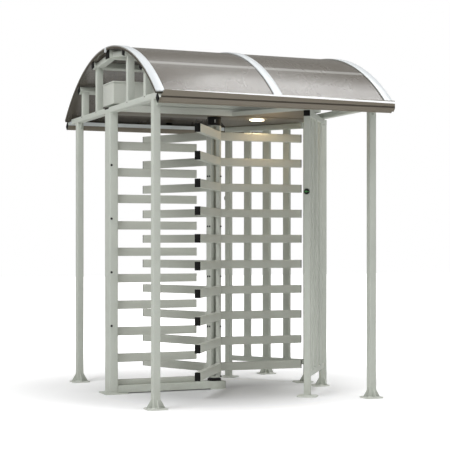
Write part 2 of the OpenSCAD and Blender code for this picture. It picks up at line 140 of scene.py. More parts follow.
def joined(pieces):
    activate(pieces[0])
    for piece in pieces[1:]:
        piece.select_set(True)
    bpy.ops.object.join()
    return pieces[0]


def outward(piece):
    openEdit(piece)
    selectMesh()
    bpy.ops.mesh.remove_doubles(threshold=1e-5)
    bpy.ops.mesh.normals_make_consistent(inside=False)
    closeEdit()
    return piece


def mirrored(piece):  # from front to back, with its faces turned out again
    piece.scale.y = -1
    applyPlace(piece)
    return outward(piece)


def block(size, middle=(0, 0, 0)):
    deselectAll()
    bpy.ops.mesh.primitive_cube_add(size=1, scale=size, location=middle)
    made = bpy.context.object
    applyPlace(made)
    return made


def boxTube(size, along, radius=0.0035, steps=3, endRadius=0.0):
    tube = block(size)
    openEdit(tube)
    pickEdges(lambda middle, way: abs(way[along]) > 0.99)
    bevelPicked(radius, steps)
    if endRadius:
        end = size[along] / 2 - 1e-5
        pickEdges(lambda middle, way: abs(middle[along]) > end and abs(way[along]) < 0.1)
        bevelPicked(endRadius)
    closeEdit()
    return tube


def softBox(size, radius, steps=2):  # a block with every edge rounded
    made = block(size)
    openEdit(made)
    selectMesh()
    bevelPicked(radius, steps)
    closeEdit()
    return made


def between(low, high, maker=softBox, **values):  # a piece that fills the box between two corners
    low, high = Vector(low), Vector(high)
    return place(maker(high - low, **values), (low + high) / 2)


def upright(width, depth, low, high, radius=0.0035, endRadius=0.0):  # tube between two heights
    return place(boxTube((width, depth, high - low), 2, radius, 3, endRadius), (0, 0, (low + high) / 2))


def cylinder(radius, height, sides):
    deselectAll()
    bpy.ops.mesh.primitive_cylinder_add(vertices=sides, radius=radius, depth=height)
    return bpy.context.object


def disc(radius, height, rim=0.001, sides=48, steps=2):
    made = cylinder(radius, height, sides)
    openEdit(made)
    pickEdges(lambda middle, way: abs(way.z) < 0.1 and abs(middle.z) > height / 2 - 1e-5)
    bevelPicked(rim, steps)
    closeEdit()
    return made


def cutBelow(piece, point, normal):  # clears what lies beyond the plane and closes the cut
    openEdit(piece)
    selectMesh()
    bpy.ops.mesh.bisect(plane_co=point, plane_no=normal, use_fill=True, clear_outer=True)
    closeEdit()
    return piece


washerThick = 0.0016


def hexBolt(across, height, washer=True):
    head = disc(across / 2 / cos(pi / 6), height, rim=height * 0.18, sides=6)
    if not washer:
        return place(head, (0, 0, height / 2))
    ring = disc(across * 0.8, washerThick, rim=washerThick / 4, sides=24, steps=1)
    return joined([place(head, (0, 0, height / 2 + 0.0015)), place(ring, (0, 0, washerThick / 2))])


def feed(made, inputs):  # sets a node's inputs, each to a value or to another node's output
    for key, value in inputs.items():
        if isinstance(value, bpy.types.NodeSocket):
            made.id_data.links.new(value, made.inputs[key])
        else:
            made.inputs[key].default_value = value
    return made


def node(tree, kind, inputs=None, **settings):
    made = tree.nodes.new("ShaderNode" + kind)
    for key, value in settings.items():
        setattr(made, key, value)
    return feed(made, inputs or {})


class Sums:  # short calls for the nodes of one tree
    def __init__(self, tree):
        self.tree = tree

    def math(self, operation, first, second=0.0, clamp=False):
        return node(self.tree, "Math", {0: first, 1: second}, operation=operation, use_clamp=clamp).outputs[0]

    def times(self, first, second):
        return self.math("MULTIPLY", first, second)

    def plus(self, first, second, clamp=False):
        return self.math("ADD", first, second, clamp)

    def apart(self, first, second):
        return self.math("ABSOLUTE", self.math("SUBTRACT", first, second))

    def noise(self, spot, scale, detail=2.0, rough=0.5):
        inputs = {"Vector": spot, "Scale": scale, "Detail": detail, "Roughness": rough}
        return node(self.tree, "TexNoise", inputs).outputs["Fac"]

    def ramp(self, value, low, high, newLow=0.0, newHigh=1.0):
        inputs = {"Value": value, "From Min": low, "From Max": high, "To Min": newLow, "To Max": newHigh}
        return node(self.tree, "MapRange", inputs).outputs[0]

    def blend(self, factor, first, second, mode="MIX"):
        inputs = {0: factor, 6: first, 7: second}
        return node(self.tree, "Mix", inputs, data_type="RGBA", blend_type=mode).outputs[2]

    def spot(self):
        return node(self.tree, "TexCoord").outputs["Object"]

    def axes(self, spot):
        return node(self.tree, "SeparateXYZ", {0: spot}).outputs

    def stretched(self, spot, scale):
        return node(self.tree, "Mapping", {"Vector": spot, "Scale": scale}).outputs[0]


def newGroup(name, inputs, outputs):  # inputs are given as labels with their defaults
    group = bpy.data.node_groups.new(name, "ShaderNodeTree")
    for label, value in inputs.items():
        kind = "NodeSocketColor" if isinstance(value, tuple) else "NodeSocketFloat"
        group.interface.new_socket(name=label, in_out="INPUT", socket_type=kind).default_value = value
    for label in outputs:
        kind = "NodeSocketColor" if label == "Colour" else "NodeSocketFloat"
        group.interface.new_socket(name=label, in_out="OUTPUT", socket_type=kind)
    return group, group.nodes.new("NodeGroupInput").outputs


def closeGroup(group, **results):
    feed(group.nodes.new("NodeGroupOutput"), results)
    return group


def coat():  # sprayed powder coat: orange peel, faint mottling, dust low down, light scuffs
    group, given = newGroup("powderCoat", {
        "Colour": (0.6, 0.6, 0.6, 1), "Mottle": 0.05, "Gloss roughness": 0.42, "Dust": 0.35,
        "Scuffs": 0.25, "Peel size": 420.0,
    }, ("Colour", "Roughness", "Height"))
    do = Sums(group)
    spot = do.spot()
    broad = do.noise(spot, 3.2, 3.0, 0.55)
    swing = do.times(do.ramp(broad, 0.3, 0.7, -1.0, 1.0), given["Mottle"])
    speck = do.times(do.ramp(do.noise(spot, 95.0), 0.3, 0.7, -0.35, 0.35), given["Mottle"])
    shade = do.plus(do.plus(swing, speck), 1.0)
    grey = node(group, "CombineColor", {0: shade, 1: shade, 2: shade}).outputs[0]
    toned = do.blend(1.0, given["Colour"], grey, "MULTIPLY")
    low = do.ramp(do.axes(spot)["Z"], 0.22, 0.0)
    patch = do.ramp(do.noise(spot, 14.0, 4.0, 0.65), 0.35, 0.75)
    dust = do.times(do.times(low, patch), given["Dust"])
    dusty = do.blend(dust, toned, (0.42, 0.40, 0.36, 1))
    streak = do.noise(do.stretched(spot, (30.0, 30.0, 9.0)), 1.6, 5.0, 0.7)
    scuff = do.times(do.ramp(streak, 0.62, 0.74), given["Scuffs"])
    rough = do.plus(given["Gloss roughness"], do.times(do.plus(dust, scuff), 0.3))
    return closeGroup(
        group, Colour=do.blend(scuff, dusty, (0.50, 0.49, 0.46, 1)),
        Roughness=do.plus(rough, do.ramp(broad, 0.3, 0.7, -0.03, 0.03), clamp=True),
        Height=do.noise(spot, given["Peel size"], 2.0, 0.4),
    )


def grain():  # moulded plastic: eroded grain with a little dust in it
    group, given = newGroup("mouldedGrain", {
        "Colour": (0.02, 0.02, 0.02, 1), "Dust": 0.2, "Gloss roughness": 0.45, "Grain size": 900.0,
    }, ("Colour", "Roughness", "Height"))
    do = Sums(group)
    spot = do.spot()
    cells = node(group, "TexVoronoi", {"Vector": spot, "Scale": given["Grain size"]}, feature="SMOOTH_F1")
    dust = do.times(do.ramp(do.noise(spot, 40.0, 3.0), 0.45, 0.75), given["Dust"])
    return closeGroup(
        group, Colour=do.blend(dust, given["Colour"], (0.16, 0.155, 0.145, 1)),
        Roughness=do.plus(given["Gloss roughness"], do.times(dust, 0.6), clamp=True),
        Height=cells.outputs["Distance"],
    )


def flutes():  # inner webs of the hollow sheet, which run over the vault, with dust and rain marks and a painted light band over the middle purlins
    group, given = newGroup("sheetFlutes", {
        "Colour": (0.3, 0.26, 0.23, 1), "Web colour": (0.22, 0.19, 0.17, 1), "Pitch": 0.011, "Dust": 0.2,
        "Opacity": 0.85, "Middle": -0.065, "Centre height": 0.907, "Tube angle": 0.497,
        "Tube half angle": 0.016, "Tube colour": (0.5, 0.5, 0.48, 1), "Tube show": 0.5,
    }, ("Colour", "Roughness", "Alpha", "Height"))
    do = Sums(group)
    spot = do.spot()
    axes = do.axes(spot)
    step = do.math("FRACT", do.math("DIVIDE", axes["X"], given["Pitch"]))
    web = do.ramp(do.apart(step, 0.5), 0.32, 0.46)
    rain = do.noise(do.stretched(spot, (22.0, 2.0, 2.0)), 2.4, 4.0, 0.6)
    marks = do.times(do.ramp(rain, 0.35, 0.75), given["Dust"])
    webbed = do.blend(do.times(web, 0.5), given["Colour"], given["Web colour"])
    # painted light: a paler band over the middle purlins, for the lit tubes seen through the sheet
    across = do.apart(axes["Y"], given["Middle"])
    turn = do.math("ARCTAN2", across, do.math("SUBTRACT", axes["Z"], given["Centre height"]))
    aside = do.math("DIVIDE", do.apart(turn, given["Tube angle"]), given["Tube half angle"])
    tube = do.times(do.ramp(aside, 1.15, 0.7), given["Tube show"])
    shown = do.blend(tube, webbed, given["Tube colour"])
    solid = do.plus(given["Opacity"], do.times(web, 0.1))
    return closeGroup(
        group, Colour=do.blend(marks, shown, (0.55, 0.52, 0.49, 1)),
        Roughness=do.plus(do.ramp(do.noise(spot, 2.0), 0.3, 0.7, 0.2, 0.3), do.times(marks, 0.5)),
        Alpha=do.plus(solid, do.times(marks, 0.1), clamp=True), Height=web,
    )


finishes = {}


def material(name, group, values, bump, bumpSize=0.0004, shaderValues=None):
    finishes[name] = made = bpy.data.materials.new(name)
    made.use_nodes = True
    tree = made.node_tree
    shader = feed(tree.nodes["Principled BSDF"], shaderValues or {})
    effect = node(tree, "Group", values, node_tree=group).outputs
    for key, label in (("Colour", "Base Color"), ("Roughness", "Roughness"), ("Alpha", "Alpha")):
        if key in effect:
            feed(shader, {label: effect[key]})
    relief = node(tree, "Bump", {"Height": effect["Height"], "Strength": bump, "Distance": bumpSize})
    feed(shader, {"Normal": relief.outputs[0]})


coatGroup, grainGroup = coat(), grain()
paints = {  # colour, mottle, roughness, dust, scuffs, bump
    "greyPaint": ((0.60, 0.635, 0.585), 0.035, 0.40, 0.35, 0.25, 0.25),
    "cabinetPaint": ((0.595, 0.622, 0.575), 0.025, 0.36, 0.0, 0.25, 0.15),
    "wingPaint": ((0.57, 0.59, 0.54), 0.045, 0.40, 0.35, 0.35, 0.25),
    # painted shade: the hub's paint is the frame's grey made darker, for the shade under the head
    "hubPaint": ((0.53, 0.553, 0.51), 0.04, 0.42, 0.35, 0.25, 0.25),
    "whiteTrim": ((0.64, 0.675, 0.70), 0.015, 0.3, 0.0, 0.1, 0.08),
    "eavePaint": ((0.202, 0.176, 0.135), 0.04, 0.3, 0.0, 0.1, 0.1),
    # painted shade: a dark brown that stands for the frame's paint in the deep shade under the head
    "ceilingPaint": ((0.128, 0.112, 0.084), 0.04, 0.5, 0.0, 0.25, 0.15),
    "stripEdge": ((0.38, 0.39, 0.375), 0.02, 0.4, 0.0, 0.25, 0.08),
    "paintedLightPlate": ((0.69, 0.715, 0.67), 0.02, 0.4, 0.0, 0.25, 0.2),
    "sheetFoot": ((0.93, 0.94, 0.95), 0.0, 0.25, 0.0, 0.25, 0.05),
}
paintExtras = {
    "whiteTrim": ({"Peel size": 260.0}, {}),
    # painted highlight: a white paint that glows a little on the eave's top bevel, for the light that edge catches
    "sheetFoot": ({}, {"Emission Color": (0.95, 0.98, 1.0, 1), "Emission Strength": 0.32}),
}
for name, (colour, mottle, rough, dust, scuffs, bump) in paints.items():
    more, shaderValues = paintExtras.get(name, ({}, {}))
    values = {"Mottle": mottle, "Gloss roughness": rough, "Dust": dust, "Scuffs": scuffs}
    material(name, coatGroup, {"Colour": (*colour, 1), **values, **more}, bump, shaderValues=shaderValues)

plastics = {  # colour, dust, roughness, size of the grain, bump and its size, the shader's own values
    "capPlastic": ((0.003, 0.003, 0.003), 0.0, 0.6, 900, 0.1, 0.0002, {"Specular IOR Level": 0.25}),
    "bearingPlastic": ((0.005, 0.005, 0.005), 0.0, 0.45, 900, 0.1, 0.0002, {"Specular IOR Level": 0.3}),
    "boltSteel": ((0.03, 0.03, 0.032), 0.1, 0.4, 1500, 0.1, 0.0001, {"Metallic": 0.6}),
    "clipSteel": ((0.62, 0.63, 0.62), 0.1, 0.3, 1500, 0.05, 0.0001, {"Metallic": 0.5}),
    "sealRubber": ((0.075, 0.063, 0.047), 0.15, 0.6, 900, 0.05, 0.0004, {}),
    "bezelPlastic": ((0.30, 0.32, 0.30), 0.05, 0.3, 900, 0.1, 0.0004, {}),
    "signalLens": ((0.008, 0.014, 0.010), 0.02, 0.15, 200, 0.02, 0.0004, {}),
    "lensGlow": ((0.9, 0.88, 0.8), 0.02, 0.25, 900, 0.02, 0.0004,
                 {"Emission Color": (1.0, 0.84, 0.58, 1), "Emission Strength": 7.0}),
    "arrowGlow": ((0.02, 0.12, 0.03), 0.02, 0.25, 900, 0.02, 0.0004,
                  {"Emission Color": (0.10, 0.30, 0.10, 1), "Emission Strength": 0.28}),
}
for name, (colour, dust, rough, size, bump, bumpSize, shaderValues) in plastics.items():
    values = {"Colour": (*colour, 1), "Dust": dust, "Gloss roughness": rough, "Grain size": size}
    material(name, grainGroup, values, bump, bumpSize, shaderValues)

sheetValues = {"Colour": (0.098, 0.083, 0.064, 1), "Web colour": (0.072, 0.061, 0.047, 1)}
sheetValues.update({"Dust": 0.04, "Opacity": 0.86})
material("bronzeSheet", flutes(), sheetValues, 0.04, 0.001, {"IOR": 1.58, "Coat Weight": 0.35, "Coat Roughness": 0.2})


def finish(piece, name, look, body="frame"):  # name is the CAD node's, or a new one
    piece.data.materials.clear()
    piece.data.materials.append(finishes[look])
    activate(piece)
    bpy.ops.object.shade_smooth_by_angle(angle=radians(32))
    first, *rest = name.split("_")
    piece.name = first + "".join(word.title() for word in rest)
    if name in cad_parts:
        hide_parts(name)
    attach(piece, body)
    return piece


def secondTone(piece, look, choose):  # another paint on some faces of a finished piece
    piece.data.materials.append(finishes[look])
    for face in piece.data.polygons:
        if choose(face.center, face.normal):
            face.material_index = len(piece.data.materials) - 1


print("materials made")

# canopy

vault = {
    "halfX": 0.795, "halfY": 0.877, "middleY": -0.065, "clear": 2.005, "beam": (0.05, 0.04), "stud": 0.04,
    "footTone": 1.998, "radius": 1.534, "centreZ": 0.907, "purlinHalf": 0.842, "purlin": (0.05, 0.04),
    "ridge": (0.08, 0.058), "purlinRound": 0.004, "angles": (13.7, 28.5, 44.1), "roofHalf": 0.861,
}
clear, middleY = vault["clear"], vault["middleY"]


def onVault(radius, angle):  # a point of the vault at an angle in degrees from the crown
    return middleY + radius * sin(radians(angle)), vault["centreZ"] + radius * cos(radians(angle))


feet = {
    "plate": (0.14, 0.14), "thick": 0.008, "cut": 0.022, "rounding": 0.004, "holes": (0.104, 0.104),
    "hole": 0.012, "edge": 0.0009, "bead": 0.0055, "beadRound": 0.72, "paleTo": 0.014,
}
webShape = {"thick": 0.006, "tip": 0.004, "sink": 0.002, "margin": 0.006, "edge": 0.0008}


def footPlate(size=feet["plate"], cut=feet["cut"], holes=feet["holes"]):
    plate = block((*size, feet["thick"]))
    openEdit(plate)
    for offset, steps in ((cut, 1), (feet["rounding"], 2)) if cut else ():
        pickEdges(lambda middle, way: abs(way.z) > 0.99)
        bevelPicked(offset, steps)
    closeEdit()
    drill = place(cylinder(feet["hole"] / 2, feet["thick"] * 3, 20), (-holes[0] / 2, -holes[1] / 2, 0))
    repeat(repeat(drill, 2, (holes[0], 0, 0)), 2, (0, holes[1], 0))
    addModifier(plate, "BOOLEAN", object=drill, operation="DIFFERENCE", solver="EXACT")
    bpy.data.objects.remove(drill)
    softenEdges(plate, feet["edge"], 60)
    return place(plate, (0, 0, feet["thick"] / 2))


def paintedLightFoot(piece):  # painted light: the anchor plate gets a paler paint, for the light it catches from the floor
    secondTone(piece, "paintedLightPlate", lambda spot, normal: spot.z < feet["paleTo"])


def weldBead(width, depth, z):  # fillet of weld all round the foot of a tube
    bead = feet["bead"]
    return place(softBox((width + 2 * bead, depth + 2 * bead, 2 * bead), bead * feet["beadRound"]), (0, 0, z))


def gusset(reach, height):  # upright triangle with its long side on a tube's face
    tip, sink = webShape["tip"], webShape["sink"]
    web = block((reach + sink, webShape["thick"], height), ((reach - sink) / 2, 0, height / 2))
    cutBelow(web, (reach, 0, tip), (height - tip, 0, reach - tip))
    softenEdges(web, webShape["edge"], 25)
    return web


def gussets(tube, height, turns, z=feet["thick"], reach=None, upsideDown=False):
    made = []
    for turn in turns:
        web = gusset(reach or feet["plate"][0] / 2 - tube / 2 - webShape["margin"], height)
        place(web, (tube / 2, 0, z), (pi if upsideDown else 0, 0, 0))
        made.append(place(web, turn=(0, 0, radians(turn))))
    return made


postShape = {"width": 0.05, "corner": 0.0045, "footGusset": 0.06, "headGusset": 0.045, "headReach": 0.038}


def canopyPost():
    width = postShape["width"]
    parts = [upright(width, width, feet["thick"], clear, postShape["corner"])]
    parts += [footPlate(), weldBead(width, width, feet["thick"])]
    parts += gussets(width, postShape["footGusset"], (0, 90, 180, 270))
    parts += gussets(width, postShape["headGusset"], (90, 270), clear, postShape["headReach"], True)
    return joined(parts)


basePost = canopyPost()
for sideX, wordX in ((-1, "left"), (1, "right")):
    for sideY, wordY in ((-1, "front"), (1, "back")):
        post = place(copyOf(basePost), (sideX * vault["halfX"], middleY + sideY * vault["halfY"], 0))
        finish(post, f"canopy_post_{wordY}_{wordX}", "greyPaint")
        paintedLightFoot(post)
bpy.data.objects.remove(basePost)
print("canopy posts made")

beamWidth, beamHeight = vault["beam"]
beamTop = clear + beamHeight
innerRadius = vault["radius"] - vault["purlin"][1] / 2
low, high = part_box("gable_beam_left")
beamReach = (high.y - low.y) / 2


def gableBeam():
    topReach = (vault["radius"] ** 2 - (beamTop - vault["centreZ"]) ** 2) ** 0.5
    beam = boxTube((beamWidth, 2 * beamReach, beamHeight), along=1)
    place(beam, (0, 0, clear + beamHeight / 2))
    for end in (1, -1):
        cutBelow(beam, (0, end * beamReach, clear), (0, end * beamHeight, beamReach - topReach))
    return beam


def studAt(angle):
    y, z = onVault(innerRadius, angle)
    bead = weldBead(beamWidth - 0.006, vault["stud"], beamTop)
    return [place(upright(beamWidth, vault["stud"], beamTop, z), (0, y, 0)), place(bead, (0, y, 0))]


def chordTo(side):  # short tube from the ridge purlin down to an inner purlin
    y, z = onVault(innerRadius, side * vault["angles"][0])
    topY, topZ = middleY, vault["centreZ"] + vault["radius"] - vault["ridge"][1] / 2
    length = hypot(y - topY, z - topZ) - vault["purlin"][0] / 4
    chord = boxTube((beamWidth, length, vault["stud"]), along=1)
    place(chord, (0, side * length / 2, 0))
    return place(chord, (0, topY, topZ), (atan2(z - topZ, abs(y - topY)) * side, 0, 0))


inner, middle, _ = vault["angles"]
for side, word in ((-1, "left"), (1, "right")):
    beam = place(gableBeam(), (side * vault["halfX"], middleY, 0))
    finish(beam, "gable_beam_" + word, "greyPaint")
    parts = [tube for angle in (-middle, -inner, inner, middle) for tube in studAt(angle)]
    studs = place(joined(parts + [chordTo(-1), chordTo(1)]), (side * vault["halfX"], 0, 0))
    finish(studs, "gable_studs_" + word, "greyPaint")

capShape = {"depth": 0.006, "round": 0.0018}


def tubeCap(width, thick):  # plug cap with a rounded face, along X
    return softBox((capShape["depth"], width, thick), capShape["round"])


caps = []
for word, angle in zip(("ridge", "inner", "middle", "eave"), (0, *vault["angles"])):
    width, thick = vault["purlin"] if angle else vault["ridge"]
    for side, where in ((-1, "_front"), (1, "_back")) if angle else ((1, ""),):
        y, z = onVault(vault["radius"] - thick / 2, side * angle)
        turn = (radians(-side * angle), 0, 0)
        tube = boxTube((2 * vault["purlinHalf"], width, thick), 0, vault["purlinRound"], endRadius=0.0008)
        place(tube, (0, y, z), turn)
        if word == "eave":  # the foot of the tube is in the colour of the profile over it
            openEdit(tube)
            scoreAt((0, 0, vault["footTone"]), (0, 0, 1))
            closeEdit()
        finish(tube, word + "_purlin" + where, "greyPaint")
        if word == "eave":
            secondTone(tube, "eavePaint", lambda spot, normal: spot.z < vault["footTone"] and abs(normal.x) < 0.5)
        for end in (-1, 1):
            x = end * (vault["purlinHalf"] + capShape["depth"] / 2)
            caps.append(place(tubeCap(width, thick), (x, y, z), turn))
print("gables and purlins made")

roof = {"sheet": 0.014, "strip": 0.008, "stripWidth": 0.062, "lip": 0.006, "sweep": 43.25, "steps": 56, "edge": 0.0025}
sheetInner, sheetOuter = vault["radius"], vault["radius"] + roof["sheet"]
stripOuter = sheetOuter + roof["strip"]


def spunOverVault(width, inner, outer, middleX, edge=0.0):  # a bar's section swept over the vault
    centre, sweep = (0, middleY, vault["centreZ"]), radians(roof["sweep"])
    deselectAll()
    bpy.ops.mesh.primitive_plane_add(size=1)
    section = bpy.context.object
    section.scale = (width, outer - inner, 1)
    applyPlace(section)
    if edge:
        openEdit(section)
        selectMesh()
        bpy.ops.mesh.bevel(offset=edge, segments=2, affect="VERTICES")
        closeEdit()
    place(section, (middleX, 0, (inner + outer) / 2), (pi / 2, 0, 0))
    place(section, centre, (sweep, 0, 0))
    openEdit(section)
    selectMesh()
    bpy.ops.mesh.spin(steps=roof["steps"], angle=2 * sweep, center=centre, axis=(1, 0, 0), use_auto_merge=False)
    closeEdit()
    return outward(section)


def belowStrip(spot, normal):
    return hypot(spot.y - middleY, spot.z - vault["centreZ"]) < sheetOuter - 0.001


def archStrip(word, coverX, lipWidth, lipX, lipEdge):
    cover = spunOverVault(roof["stripWidth"], sheetOuter, stripOuter, coverX, roof["edge"])
    lip = spunOverVault(lipWidth, sheetInner, sheetOuter + 0.001, lipX, lipEdge)
    strip = finish(joined([cover, lip]), "arch_strip_" + word, "whiteTrim")
    if lipEdge:
        # painted shade: the side faces of the outer strips are grey, for the shade on the white strip's edges
        secondTone(strip, "stripEdge", lambda spot, normal: abs(normal.x) > 0.7)
    secondTone(strip, "sealRubber", belowStrip)


start, end = roof["lip"] / 2, vault["roofHalf"] - roof["lip"]
for side, word in ((-1, "left"), (1, "right")):
    sheet = spunOverVault(end - start, sheetInner, sheetOuter, side * (start + end) / 2)
    finish(sheet, "roof_sheet_" + word, "bronzeSheet")
    coverX, lipX = (side * (vault["roofHalf"] - width / 2) for width in (roof["stripWidth"], roof["lip"]))
    archStrip(word, coverX, roof["lip"] - 0.001, lipX, 0.001)
archStrip("middle", 0, roof["lip"], 0, 0.0)

clip = {"thick": 0.010, "width": 0.034, "height": 0.036, "round": 0.0025, "reach": 0.8648, "sink": 0.0005}
clipTop = onVault(stripOuter, 0)[1] - clip["sink"]
pieces = []
for side in (-1, 1):  # pale clip over the strips' ends at the crown
    piece = softBox((clip["thick"], clip["width"], clip["height"]), clip["round"])
    x = side * (clip["reach"] - clip["thick"] / 2)
    pieces.append(place(piece, (x, middleY, clipTop - clip["height"] / 2)))
finish(joined(pieces), "crown_clips", "whiteTrim")

plug = {
    "slot": (0.002, 0.095, 0.010), "slotAt": (0.035, 2.039), "bolt": 0.0045, "boltThick": 0.003,
    "boltDrop": 0.007, "pad": (0.052, 0.014, 0.007), "padRound": 0.0025, "padAngle": 42.2, "padGap": 0.0002,
}
gableFace = vault["halfX"] + beamWidth / 2
pieces = []
for side in (-1, 1):  # cable slot plug and the stud bolts in the outer faces of the gable beams
    x = side * gableFace
    pieces.append(place(softBox(plug["slot"], 0.0009, steps=1), (x, *plug["slotAt"])))
    for angle in (inner, -inner, middle, -middle):
        bolt = disc(plug["bolt"], plug["boltThick"], rim=0.0008, sides=16)
        spot = (x, onVault(vault["radius"], angle)[0], beamTop - plug["boltDrop"])
        pieces.append(place(bolt, spot, (0, pi / 2, 0)))
for side in (-1, 1):  # dark pads under the joint of the roof sheets at the eaves
    y, z = onVault(vault["radius"] - plug["pad"][2] / 2 - plug["padGap"], side * plug["padAngle"])
    pieces.append(place(softBox(plug["pad"], plug["padRound"]), (0, y, z), (radians(-side * plug["padAngle"]), 0, 0)))
finish(joined(pieces), "gable_plugs", "capPlastic")
print("roof made")

ledge = {"wide": 0.036, "thick": 0.002, "short": 0.002, "tilt": 45, "out": 1.009, "z": 2.0115}
pieces = []
for side in (-1, 1):  # pale ledge along the inner edge of the eave purlins
    piece = softBox((2 * (vault["purlinHalf"] - ledge["short"]), ledge["wide"], ledge["thick"]), 0.0006, steps=1)
    spot = (0, middleY + side * ledge["out"], ledge["z"])
    pieces.append(place(piece, spot, (radians(-side * ledge["tilt"]), 0, 0)))
finish(joined(pieces), "eave_ledges", "whiteTrim")

eave = {
    "groove": (0.025, 0.036), "grooveDepth": 0.004, "wall": 0.007, "gasket": 0.0016, "film": (0.0005, 0.0205),
    "filmTilt": 18, "leftCut": (0.026, 0.040), "rightCut": (0.010, 0.022), "flange": (0.0005, 0.0065),
}


def eaveBand(low, high):  # the outer wall, with its groove and a bevel under the foot of the sheets
    size = Vector((high.x - low.x, eave["wall"], high.z - low.z))
    band = boxTube(size, along=0, radius=0.0008, steps=1)
    place(band, (0, 0, size.z / 2))
    openEdit(band)
    first, last = eave["groove"]
    for rise in (first, last):
        scoreAt((0, 0, rise), (0, 0, 1))
    pickFaces(lambda middle, normal: normal.y < -0.9 and first < middle.z < last)
    pushPicked((0, eave["grooveDepth"], 0))
    closeEdit()
    left, (filmLow, filmHigh), tilt = eave["leftCut"][0] - size.x / 2, eave["film"], radians(eave["filmTilt"])
    along = Vector((size.x / 2 - left, 0, filmLow - filmHigh))  # the bevel is wider to the right
    normal = along.cross(Vector((0, sin(tilt), cos(tilt)))).normalized()
    cutBelow(band, (left, -eave["wall"] / 2, size.z - filmLow), normal)
    return place(outward(band), ((low.x + high.x) / 2, low.y + eave["wall"] / 2, low.z))


def eaveFlange(low, high):  # the part that reaches back under the foot of the roof sheets
    under, over = eave["flange"]
    start, end = (low.x, low.y + 0.004, high.z - over), (high.x, high.y, high.z - under)
    return between(start, end, boxTube, along=0, radius=0.001, steps=1, endRadius=0.0008)


def eaveGasket(low, high):  # dark seal along the bottom of the groove
    first, last = eave["groove"]
    depth, margin = eave["grooveDepth"], 0.0005
    start = (low.x + 0.002, low.y + depth - eave["gasket"], low.z + first + margin)
    return between(start, (high.x - 0.002, low.y + depth, low.z + last - margin), radius=0.0005, steps=1)


def cutCorners(profile, low, high):  # the ends of the profile are cut back
    wide, tall = eave["leftCut"]
    cutBelow(profile, (low.x, 0, high.z - tall), Vector((-tall, 0, wide)).normalized())
    wide, tall = eave["rightCut"]
    return cutBelow(profile, (high.x, 0, low.z + tall), Vector((tall, 0, -wide)).normalized())


seals = []
for word in ("front", "back"):
    low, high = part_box("eave_profile_" + word)
    band, seal = eaveBand(low, high), eaveGasket(low, high)
    if word == "back":  # the outer face looks to the back here
        for piece in (band, seal):
            place(mirrored(place(piece, (0, -low.y, 0))), (0, high.y, 0))
    seals.append(seal)
    profile = cutCorners(joined([band, eaveFlange(low, high)]), low, high)
    finish(profile, "eave_profile_" + word, "eavePaint")
    # painted highlight: the bevel faces along the top of the profile get the white glowing paint
    paintedHighlightFrom = high.z - 0.02
    secondTone(profile, "sheetFoot", lambda spot, normal: 0.2 < normal.z < 0.7 < abs(normal.y) and spot.z > paintedHighlightFrom)
finish(joined(seals), "eave_seals", "sealRubber")
print("eaves made")

# head over the passage

head = {
    "face": 0.051, "seat": 0.008, "lid": 0.01, "lidLip": 0.005, "round": 0.004, "seam": 0.0025, "seamDepth": 0.003,
    "doorWidth": 0.54, "screw": (0.009, 0.0035), "screws": 6, "screwX": 0.06, "screwZ": 0.02,
}
low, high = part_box("head_box")
lowerTop = low.z + head["face"]
tray = between(low, (high.x, high.y, lowerTop), radius=0.0025)
seatLow = (low.x + 0.001, low.y + head["seat"], lowerTop - 0.002)
seat = between(seatLow, (high.x - 0.001, high.y - head["seat"], high.z), radius=0.001, steps=1)
headBox = finish(joined([tray, seat]), "head_box", "cabinetPaint")
# painted shade: the head box's underside gets the dark ceiling brown
secondTone(headBox, "ceilingPaint", lambda spot, normal: normal.z < -0.7 and spot.z < low.z + 0.002)
screw = place(hexBolt(*head["screw"]), (low.x + head["screwX"], low.y, low.z + head["screwZ"]), (pi / 2, 0, 0))
repeat(screw, head["screws"], ((high.x - low.x - 2 * head["screwX"]) / (head["screws"] - 1), 0, 0))
finish(screw, "head_screws", "cabinetPaint")

low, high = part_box("control_cabinet")
inset, lidLow = head["lidLip"], high.z - head["lid"]
shellLow, shellHigh = (low.x + inset, low.y + inset, low.z), (high.x - inset, high.y - inset, lidLow)
shell = between(shellLow, shellHigh, boxTube, along=2, radius=head["round"], endRadius=0.001)
middle = (low + high) / 2
openEdit(shell)  # door seams on the front face
for door in (-1, 0, 1):
    x = middle.x + door * head["doorWidth"]
    for edge in (-1, 1):
        scoreAt((x + edge * head["seam"] / 2, 0, 0), (1, 0, 0))
    pickFaces(lambda spot, normal: normal.y < -0.9 and abs(spot.x - x) < head["seam"] / 2)
    pushPicked((0, head["seamDepth"], 0))
closeEdit()
lid = between((low.x, low.y, lidLow), high, radius=0.003)
finish(joined([outward(shell), lid]), "control_cabinet", "cabinetPaint")

lockShape = {
    "x": 0.05, "radius": 0.011, "thick": 0.004, "proud": 0.001, "slot": (0.002, 0.012, 0.0016), "slotZ": 0.0024,
}
locks = []
for side in (-1, 1):  # quarter-turn locks
    slotBar = place(softBox(lockShape["slot"], 0.0004, steps=1), (0, 0, lockShape["slotZ"]))
    lock = joined([disc(lockShape["radius"], lockShape["thick"], rim=0.0012, sides=24), slotBar])
    spot = (middle.x + side * lockShape["x"], low.y + inset - lockShape["proud"], middle.z)
    locks.append(place(lock, spot, (pi / 2, 0, 0)))
finish(joined(locks), "cabinet_locks", "boltSteel")

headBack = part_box("head_box")[1].y + 0.001
low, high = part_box("passage_ceiling")
ceiling = {
    "tray": 0.03, "start": 0.09, "side": 0.164, "edge": 0.012, "tip": 0.034, "cornerX": 0.415,
    "inset": 0.012, "recess": 0.003,
}


